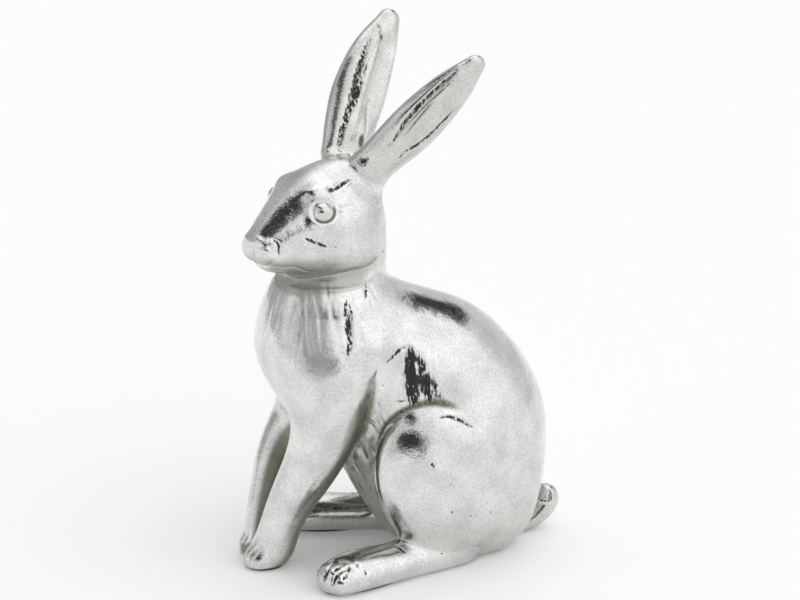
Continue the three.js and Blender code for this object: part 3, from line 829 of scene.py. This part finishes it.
def add_node(tree, kind, settings=None, **inputs):
    """A node with its settings. Inputs go by name, or by number as in_0, and take values or sockets."""
    node = tree.nodes.new("ShaderNode" + kind)
    for key, value in (settings or {}).items():
        setattr(node, key, value)
    for key, value in inputs.items():
        socket = node.inputs[int(key[3:]) if key.startswith("in_") else key.replace("_", " ")]
        if isinstance(value, bpy.types.NodeSocket):
            tree.links.new(value, socket)
        else:
            socket.default_value = value
    return node


def new_material(name):
    """A node material with its tree and its shader."""
    material = bpy.data.materials.new(name)
    material.use_nodes = True
    tree = material.node_tree
    return material, tree, tree.nodes["Principled BSDF"]


def per_metre(size):
    """A texture's scale for features of a size in millimetres."""
    return 1 / (size * MM)


def silver_leaf():
    """Silver leaf, laid by hand over brown bole on cast resin, burnished and rubbed with black wax.

    The eye sees a bright mirror broken up by a fine grain, soft waves where the leaf was pressed down, a
    cloudy tone, khaki bole in the creases, black wax in the strokes and pits, an olive patina with painted
    shade in the recesses, painted shade under the chin and throat, and a satin zone on the brushed chest.
    """
    material, tree, shader = new_material("silver_leaf_over_bole")
    place = add_node(tree, "TexCoord").outputs["Object"]
    drawn = add_node(tree, "Mapping", Vector=place, Scale=STREAK_STRETCH).outputs[0]
    grain, waves, clouds, pits, streaks = (
        add_node(tree, "TexNoise", Vector=drawn if key == "streaks" else place, Scale=per_metre(size),
                 Detail=detail, Roughness=roughness).outputs["Fac"]
        for key, (size, detail, roughness) in LEAF_PATTERNS.items())
    # The patina attribute carries the olive patina together with painted shade
    bole, wax, patina_and_shade, satin = (add_node(tree, "Attribute", {"attribute_name": key}).outputs["Fac"]
                                for key in ("bole", "wax", "patina_and_shade", "satin"))
    edges = {key: dict(zip(("From_Min", "From_Max"), ends)) for key, ends in LEAF_EDGES.items()}

    # Clouds and grain mottle the leaf, and the olive patina with its painted shade dulls and darkens it
    tone = add_node(tree, "Math", TIMES_PLUS, in_0=clouds, in_1=CLOUDINESS, in_2=-CLOUDINESS / 2).outputs[0]
    mottle = add_node(tree, "Math", PLUS, in_0=grain, in_1=tone).outputs[0]
    bright = add_node(tree, "MapRange", Value=mottle, **edges["mottle"]).outputs[0]
    dim_leaf, bright_leaf = (srgb(code) for code in COLOURS["leaf"])
    leaf = add_node(tree, "Mix", OF_COLOURS, Factor=bright, in_6=dim_leaf, in_7=bright_leaf).outputs[2]
    dulled_and_shaded = add_node(tree, "Mix", OF_COLOURS, Factor=patina_and_shade, in_6=leaf,
                      in_7=srgb(COLOURS["patina_and_shade"])).outputs[2]

    # Bole shows where the leaf has flaked off
    flakes = add_node(tree, "Math", TIMES_PLUS, in_0=grain, in_1=FLAKES[0], in_2=FLAKES[1]).outputs[0]
    worn = add_node(tree, "Math", TIMES, in_0=bole, in_1=flakes).outputs[0]
    bared = add_node(tree, "MapRange", SOFT_STEP, Value=worn, **edges["bole"]).outputs[0]
    clay = add_node(tree, "Mix", OF_COLOURS, Factor=bared, in_6=dulled_and_shaded, in_7=srgb(COLOURS["bole"])).outputs[2]

    # Wax fills the strokes in streaks, and the pits, which come in clusters
    strokes = add_node(tree, "Math", TIMES_PLUS, in_0=streaks, in_1=STREAKS[0], in_2=STREAKS[1]).outputs[0]
    rubbed = add_node(tree, "Math", TIMES, in_0=wax, in_1=strokes).outputs[0]
    filled = add_node(tree, "MapRange", SOFT_STEP, Value=rubbed, **edges["wax"]).outputs[0]
    clustered = add_node(tree, "Math", PLUS, in_0=pits, in_1=tone).outputs[0]
    pitted = add_node(tree, "MapRange", SOFT_STEP, Value=clustered, **edges["pits"]).outputs[0]
    black = add_node(tree, "Math", LARGER, in_0=filled, in_1=pitted).outputs[0]
    colour = add_node(tree, "Mix", OF_COLOURS, Factor=black, in_6=clay, in_7=srgb(COLOURS["wax"]))
    tree.links.new(colour.outputs[2], shader.inputs["Base Color"])

    # Bole and wax are duller than leaf, and hardly metal
    covered = add_node(tree, "Math", LARGER, in_0=black, in_1=bared).outputs[0]
    bare = add_node(tree, "MapRange", Value=covered, To_Min=METALLIC["leaf"], To_Max=METALLIC["covered"])
    metal = add_node(tree, "Math", TIMES_PLUS, in_0=patina_and_shade, in_1=METALLIC["patina_and_shade"], in_2=bare.outputs[0])
    tree.links.new(metal.outputs[0], shader.inputs["Metallic"])
    dull = add_node(tree, "MapRange", Value=covered, To_Min=ROUGHNESS["leaf"], To_Max=ROUGHNESS["covered"])
    blurred = add_node(tree, "Math", TIMES_PLUS, in_0=patina_and_shade, in_1=ROUGHNESS["patina_and_shade"], in_2=dull.outputs[0])
    rough = add_node(tree, "Math", TIMES_PLUS, in_0=satin, in_1=ROUGHNESS["satin"], in_2=blurred.outputs[0])
    tree.links.new(rough.outputs[0], shader.inputs["Roughness"])

    soft = add_node(tree, "Bump", Strength=1.0, Distance=LEAF_RELIEF["waves"] * MM, Height=waves)
    fine = add_node(tree, "Bump", Strength=1.0, Distance=LEAF_RELIEF["grain"] * MM, Height=grain,
                    Normal=soft.outputs["Normal"])
    tree.links.new(fine.outputs["Normal"], shader.inputs["Normal"])
    return material


def steel_pin():
    """Drawn steel, plain and a little uneven in its gloss."""
    material, tree, shader = new_material("drawn_steel")
    shader.inputs["Metallic"].default_value = 1.0
    shader.inputs["Base Color"].default_value = srgb(COLOURS["steel"])
    place = add_node(tree, "TexCoord").outputs["Object"]
    drawn = add_node(tree, "TexNoise", Vector=place, Scale=per_metre(STEEL_GRAIN), Detail=2.0)
    dull = add_node(tree, "MapRange", Value=drawn.outputs["Fac"], To_Min=STEEL_ROUGHNESS[0],
                    To_Max=STEEL_ROUGHNESS[1])
    tree.links.new(dull.outputs[0], shader.inputs["Roughness"])
    return material


def wool_felt():
    """Pressed wool felt: dark, fibrous and without gloss."""
    material, tree, shader = new_material("wool_felt")
    shader.inputs["Roughness"].default_value = 1.0
    place = add_node(tree, "TexCoord").outputs["Object"]
    fibres = add_node(tree, "TexNoise", Vector=place, Scale=per_metre(FIBRE_SIZE), Detail=4.0,
                      Distortion=1.5).outputs["Fac"]
    dark, light = (srgb(code) for code in COLOURS["felt"])
    colour = add_node(tree, "Mix", OF_COLOURS, Factor=fibres, in_6=dark, in_7=light)
    tree.links.new(colour.outputs[2], shader.inputs["Base Color"])
    bump = add_node(tree, "Bump", Strength=0.6, Distance=FIBRE_RELIEF * MM, Height=fibres)
    tree.links.new(bump.outputs["Normal"], shader.inputs["Normal"])
    return material


def forms_of_hare():
    """Every casting's form, in the hare's own frame."""
    head_turn = turned("Z", HEAD_TURN)
    head_move = np.array(HEAD_PLACE)
    forms = {"torso": Loft(TORSO, TORSO_DOMES, fullness=TORSO_FULLNESS),
             "head": Loft(HEAD, HEAD_DOMES, head_turn, head_move, HEAD_FULLNESS),
             "tail": Loft(TAIL, TAIL_DOMES)}
    for side, way in SIDES:
        blade = np.insert(np.array(EAR, float), 0, 0, axis=1)
        blade[:, 0] = EAR_BOW[side] * (blade[:, 2] / EAR_HEIGHT) ** 3
        blade[:, [2, 4]] *= EAR_STRETCH[side]
        tilt = turned("Y", way * EAR_OUT_TILT[side]) @ turned("X", -EAR_BACK_TILT)
        ear_turn = head_turn @ tilt @ turned("Z", -way * EAR_TWIST[side])
        ear_move = head_turn @ (np.array(EAR_ROOT) * (way, 1, 1)) + head_move
        leg = np.array(FORELEG, float)
        leg[:, 0] *= way
        if way < 0:
            leg[:, [1, 3]] += np.array(RIGHT_LEG_STEPS)[:, None]
        forms[side + "_ear"] = Loft(blade, EAR_DOMES, ear_turn, ear_move)
        forms[side + "_foreleg"] = Loft(leg, FORELEG_DOMES)
        haunch_move = np.array(HAUNCH_CENTRE) * (way, 1, 1)
        forms[side + "_haunch"] = Egg(HAUNCH_HALF, turned("X", HAUNCH_LEAN), haunch_move)
        foot_move = np.array(HEEL[side]) * (way, 1, 1)
        forms[side + "_foot"] = Loft(FOOT, FOOT_DOMES, turned("Z", way * FOOT_SPLAY), foot_move)
    return forms


def neck_fillet(points):
    """Tight under the jaw and wide at the nape."""
    nape = eased(points[:, 1], *NECK_FILLET["turn"])
    return between(NECK_FILLET["throat"], NECK_FILLET["nape"], nape)


def foreleg_fillet(points):
    """Wide over the shoulder and chest, tight along the leg's rear edge."""
    stations = np.array(FORELEG, float)[::-1]
    rear_edge = np.interp(points[:, 2], stations[:, 4], stations[:, 3])
    below = 1 - eased(points[:, 2], *FORELEG_FILLET["top"])
    rear = eased(points[:, 1] - rear_edge, *FORELEG_FILLET["edge"]) * below
    return between(FORELEG_FILLET["shoulder"], FORELEG_FILLET["rear"], rear)


def haunch_fillet(points):
    """Wide behind and below the haunch's middle, tight elsewhere."""
    angle = np.degrees(np.arctan2(points[:, 2] - HAUNCH_CENTRE[2], points[:, 1] - HAUNCH_CENTRE[1]))
    away = np.abs(angle - HAUNCH_FILLET["towards"])
    behind = eased(HAUNCH_FILLET["reach"] - away, 0, HAUNCH_FILLET["fade"])
    return between(HAUNCH_FILLET["tight"], HAUNCH_FILLET["wide"], behind)


def carved(side, kind, form, points, normals, fur):
    """Heights of a casting's carving, its bole and its wax, at points of the hare."""
    local, local_normals = form.inward(points), normals @ form.turn
    if kind == "head":
        return head_carved(local, local_normals)
    if kind == "ear":
        return lines_carved(local, local_normals, EAR_LINES[side])
    if kind in ("foot", "haunch"):
        across = (dict(SIDES)[side], 1, 1)
        lines = FOOT_LINES if kind == "foot" else HAUNCH_LINES
        return lines_carved(local * across, local_normals * across, lines)
    if kind == "tail":
        return lines_carved(*mirrored(points, normals), TAIL_LINES)
    height, bole, wax = lines_carved(*mirrored(points, normals), BODY_LINES + PAW_LINES)
    return height + fur.carved(points), bole, wax


def patina_and_shade_at(side, kind, form, points, normals):
    """How olive and dark the leaf is, from 0 to 1: olive patina with painted shade, most under the belly,
    behind the forelegs and on inner sides, painted shade where the head faces down and on the throat, faintly
    all over the ears, and a faint darkening towards the floor.
    """
    local = form.inward(points)[:, 0] * dict(SIDES).get(side, 1)
    # Faintly darker towards the floor, on the torso, the haunches and the tail
    floorward = PATINA_AND_SHADE["faint"] * (1 - eased(points[:, 2], *PATINA_AND_SHADE["floorward"]))
    if kind == "head":
        # Painted shade: the leaf darkens the more the head's surface faces down, under the chin and jaw
        return PATINA_AND_SHADE["light"] * eased(-normals[:, 2], *PATINA_AND_SHADE["chin"])
    if kind == "torso":
        _, share = form.distance(points)
        front = 1 - eased(points[:, 1], *PATINA_AND_SHADE["nape"])
        # Painted shade on the throat band under the jaw, in front of the nape
        throat = PATINA_AND_SHADE["light"] * eased(share, *PATINA_AND_SHADE["throat"]) * front
        # Olive patina with painted shade under the belly, in front of the rump
        belly = (1 - eased(points[:, 2], *PATINA_AND_SHADE["belly"])) * (1 - eased(points[:, 1], *PATINA_AND_SHADE["rump"]))
        return np.maximum(np.maximum(throat, PATINA_AND_SHADE["full"] * belly), floorward)
    if kind == "foreleg":
        _, share = form.distance(points)
        across, middle, half, _, _, face, _ = form.sections(share)
        deep = ((points[:, 1:] - middle) * face).sum(1) / half
        inner = 1 - eased(local - np.abs(across), *PATINA_AND_SHADE["inner"])
        low = 1 - eased(points[:, 2], *PATINA_AND_SHADE["shoulder"])
        # Olive patina with painted shade on the foreleg's inner side and rear, below the shoulder
        return low * np.maximum(inner * (1 - eased(-deep, *PATINA_AND_SHADE["shin"])), eased(deep, *PATINA_AND_SHADE["rear"]))
    if kind == "foot":
        # Faint olive patina with painted shade on the foot's inner side
        return PATINA_AND_SHADE["faint"] * (1 - eased(local, *PATINA_AND_SHADE["foot"]))
    return np.full(len(points), PATINA_AND_SHADE["faint"]) if kind == "ear" else floorward


def satin_at(points, normals):
    """Where the chest was brushed, which blurs its reflections."""
    return stroke(*mirrored(points, normals), BRUSHED_PATH, BRUSHED_WIDTH)


def build_castings(shift, leaf):
    """Every casting: grid, fillets, carving and soles, as one closed mesh each."""
    forms = forms_of_hare()
    fillets = [("torso", "head", neck_fillet), ("torso", "tail", TAIL_FILLET)]
    for side, _ in SIDES:
        fillets += [("head", side + "_ear", EAR_FILLET), ("torso", side + "_foreleg", foreleg_fillet),
                    ("torso", side + "_haunch", haunch_fillet),
                    ("torso", side + "_foot", RUMP_TO_FOOT_FILLET),
                    (side + "_haunch", side + "_foot", HAUNCH_TO_FOOT_FILLET)]
    fur = Fur(forms["torso"].grid(*FUR_GRID))
    for name, form in forms.items():
        side, _, kind = name.rpartition("_")
        neighbours = [(forms[b if a == name else a], r) for a, b, r in fillets if name in (a, b)]
        rings, crease = fused(form, form.grid(*GRIDS[kind]), neighbours)
        shape = rings.shape[:2]
        if kind == "ear":
            local = form.inward(rings.reshape(-1, 3))
            local[:, 1] += ear_hollowed(local, form, side)
            rings = form.outward(local).reshape(rings.shape)
        points, normals = rings.reshape(-1, 3), normals_of(rings).reshape(-1, 3)
        height, bole, wax = carved(side, kind, form, points, normals, fur)
        finish = {"bole": np.maximum(bole, GROOVE_BOLE * crease.ravel()),
                  "wax": np.maximum(wax, GROOVE_WAX * crease.ravel() ** GROOVE_CORE),
                  # Olive patina with painted shade in the recesses, and painted shade under the chin and
                  # throat
                  "patina_and_shade": patina_and_shade_at(side, kind, form, points, normals),
                  "satin": satin_at(points, normals)}
        rings = flat_soles((points + normals * height[:, None]).reshape(*shape, 3))
        piece = add_mesh("leafed_" + name, rings + shift, leaf, finish)
        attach(piece, "root")
        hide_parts({"haunch": side + "_hind_leg", "foot": side + "_hind_leg"}.get(kind, name))


def dress_fittings(pin, felt):
    """Materials for the pins and pads, which keep their solids."""
    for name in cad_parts:
        material = pin if name.endswith(("pin", "dowel")) else felt if name.endswith("pad") else None
        if material:
            solid = bpy.data.objects[name]
            solid.data.materials.clear()
            solid.data.materials.append(material)


def direction(azimuth, elevation):
    """A direction by its angle round from the hare's front towards its left, and its height."""
    a, e = np.radians((azimuth, elevation))
    return Vector((np.sin(a) * np.cos(e), -np.cos(a) * np.cos(e), np.sin(e)))


def light_studio():
    """A white world, in which reflections show the soft boxes and the dark gaps, and plain view settings."""
    scene = bpy.context.scene
    scene.view_settings.view_transform = "Standard"
    world = bpy.data.worlds.new("studio")
    world.use_nodes = True
    scene.world = world
    tree = world.node_tree
    background = tree.nodes["Background"]
    ray = add_node(tree, "TexCoord").outputs["Generated"]
    path = add_node(tree, "LightPath")
    level = ROOM_LEVEL
    gaps = [(*gap, GAP_LEVEL) for gap in DARK_GAPS]
    for azimuth, elevation, full, gone, box_level in SOFT_BOXES + gaps:
        near = add_node(tree, "VectorMath", {"operation": "DOT_PRODUCT"},
                        in_0=ray, in_1=direction(azimuth, elevation))
        box = add_node(tree, "MapRange", SOFT_STEP, Value=near.outputs["Value"],
                       From_Min=np.cos(np.radians(gone)), From_Max=np.cos(np.radians(full)))
        level = add_node(tree, "Mix", in_0=box.outputs[0], in_2=level, in_3=box_level).outputs[0]
    shown = add_node(tree, "Mix", in_0=path.outputs["Is Camera Ray"], in_2=level, in_3=ROOM_LEVEL)
    background.inputs["Color"].default_value = srgb(COLOURS["room"])
    tree.links.new(shown.outputs[0], background.inputs["Strength"])


def lay_floor():
    """A pale floor that keeps the shadow and is white, also in the leaf, where it is fully lit."""
    bpy.ops.mesh.primitive_plane_add(size=FLOOR_SIZE)
    floor = bpy.context.object
    floor.name = "floor"
    material, tree, shader = new_material("floor")
    shader.inputs["Base Color"].default_value = srgb(COLOURS["floor"])
    shader.inputs["Roughness"].default_value = 1.0
    shader.inputs["Emission Color"].default_value = srgb(COLOURS["room"])
    path = add_node(tree, "LightPath")
    seen = add_node(tree, "Math", PLUS, in_0=path.outputs["Is Camera Ray"],
                    in_1=path.outputs["Is Glossy Ray"])
    glow = add_node(tree, "Math", TIMES, in_0=seen.outputs[0], in_1=FLOOR_GLOW)
    tree.links.new(glow.outputs[0], shader.inputs["Emission Strength"])
    floor.data.materials.append(material)


def set_camera(shift):
    """A camera at the photograph's angle."""
    lens = bpy.data.cameras.new("camera")
    lens.sensor_width = SENSOR_WIDTH
    lens.lens = SENSOR_WIDTH * CAMERA_DISTANCE / FIELD_WIDTH
    camera = bpy.data.objects.new("camera", lens)
    away = direction(CAMERA_AZIMUTH, CAMERA_ELEVATION)
    camera.location = Vector((shift[0], shift[1], CAMERA_TARGET)) * MM + away * CAMERA_DISTANCE * MM
    camera.rotation_euler = away.to_track_quat("Z", "Y").to_euler()
    bpy.context.collection.objects.link(camera)
    bpy.context.scene.camera = camera


# The source moves the finished hare across and along, so that its box is over the origin
torso_low, torso_high = (np.array(corner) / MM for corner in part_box("torso"))
to_middle = np.array([(torso_low[0] + torso_high[0]) / 2, torso_high[1] - TORSO_REAR, 0])
set_camera(to_middle)
build_castings(to_middle, silver_leaf())
dress_fittings(steel_pin(), wool_felt())
light_studio()
lay_floor()
